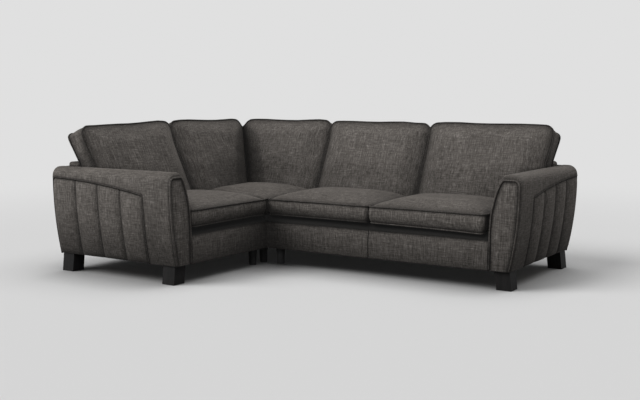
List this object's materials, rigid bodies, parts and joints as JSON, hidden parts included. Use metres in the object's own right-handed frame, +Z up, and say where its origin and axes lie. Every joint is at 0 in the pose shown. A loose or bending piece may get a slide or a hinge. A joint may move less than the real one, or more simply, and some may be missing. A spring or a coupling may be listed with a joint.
{
  "type": "corner sofa",
  "caption": "Upholstered corner sofa with a short return, loose seat and back cushions, fluted barrel arms and dark block feet on a jointed timber frame",
  "frame": {"origin": "on the floor under the middle of the bounding box", "axes": "+X along the long side towards its arm, +Y towards the back of the long side, +Z up; the return runs towards -Y at the -X end"},
  "size_m": [2.7, 1.9, 0.905],
  "materials": {
    "tweed": "matte",
    "foam": "matte",
    "platform_cloth": "matte",
    "dust_cloth": "matte",
    "webbing": "matte",
    "frame_timber": "matte",
    "plywood": "matte",
    "dark_wood": "satin",
    "dark_plastic": "matte",
    "spring_steel": "satin",
    "fittings": "satin"
  },
  "bodies": {
    "frame": {"arm_base_boards": "frame_timber", "arm_bolts": "fittings", "arm_end_boards": "plywood", "arm_rails": "frame_timber", "back_bottom_rails": "frame_timber", "back_posts": "plywood", "back_top_rolls": "tweed", "back_webbing": "webbing", "block_feet": "dark_wood", "connector_claws": "fittings", "connector_studs": "fittings", "corner_blocks": "frame_timber", "corner_inside_backs": "tweed", "corner_outside_backs": "tweed", "corner_platform": "platform_cloth", "corner_post": "frame_timber", "dust_covers": "dust_cloth", "end_rails": "frame_timber", "foot_bolts": "fittings", "left_arm_facing": "tweed", "left_inside_arm": "tweed", "left_outside_arm": "tweed", "long_cross_rail": "frame_timber", "long_front_border_left": "tweed", "long_front_border_right": "tweed", "long_inside_back": "tweed", "long_outside_back": "tweed", "long_platform": "platform_cloth", "return_front_border": "tweed", "return_inside_back": "tweed", "return_outside_back": "tweed", "return_platform": "platform_cloth", "right_arm_facing": "tweed", "right_inside_arm": "tweed", "right_outside_arm": "tweed", "seat_back_rails": "frame_timber", "seat_front_rails": "frame_timber", "seat_springs": "spring_steel", "spring_clips": "fittings", "support_feet": "dark_plastic", "top_rails": "frame_timber"},
    "return_seat": {"return_seat_cushion_cover": "tweed", "return_seat_cushion_core": "foam"},
    "corner_seat": {"corner_seat_cushion_cover": "tweed", "corner_seat_cushion_core": "foam"},
    "middle_seat": {"middle_seat_cushion_cover": "tweed", "middle_seat_cushion_core": "foam"},
    "right_seat": {"right_seat_cushion_cover": "tweed", "right_seat_cushion_core": "foam"},
    "left_back": {"left_back_cushion_cover": "tweed", "left_back_cushion_core": "foam"},
    "corner_left_back": {"corner_left_back_cushion_cover": "tweed", "corner_left_back_cushion_core": "foam"},
    "corner_rear_back": {"corner_rear_back_cushion_cover": "tweed", "corner_rear_back_cushion_core": "foam"},
    "middle_back": {"middle_back_cushion_cover": "tweed", "middle_back_cushion_core": "foam"},
    "right_back": {"right_back_cushion_cover": "tweed", "right_back_cushion_core": "foam"}
  },
  "joints": [
    {"name": "return_seat_lift", "type": "slide", "parent": "frame", "child": "return_seat", "axis": [0, 0, 1], "range_m": [0, 0.4]},
    {"name": "corner_seat_lift", "type": "slide", "parent": "frame", "child": "corner_seat", "axis": [0, 0, 1], "range_m": [0, 0.4]},
    {"name": "middle_seat_lift", "type": "slide", "parent": "frame", "child": "middle_seat", "axis": [0, 0, 1], "range_m": [0, 0.4]},
    {"name": "right_seat_lift", "type": "slide", "parent": "frame", "child": "right_seat", "axis": [0, 0, 1], "range_m": [0, 0.4]},
    {"name": "left_back_lift", "type": "slide", "parent": "frame", "child": "left_back", "axis": [-0.4226, 0, 0.9063], "range_m": [0, 0.45]},
    {"name": "corner_left_back_lift", "type": "slide", "parent": "frame", "child": "corner_left_back", "axis": [-0.4226, 0, 0.9063], "range_m": [0, 0.45]},
    {"name": "corner_rear_back_lift", "type": "slide", "parent": "frame", "child": "corner_rear_back", "axis": [0, 0.4226, 0.9063], "range_m": [0, 0.45]},
    {"name": "middle_back_lift", "type": "slide", "parent": "frame", "child": "middle_back", "axis": [0, 0.4226, 0.9063], "range_m": [0, 0.45]},
    {"name": "right_back_lift", "type": "slide", "parent": "frame", "child": "right_back", "axis": [0, 0.4226, 0.9063], "range_m": [0, 0.45]}
  ]
}
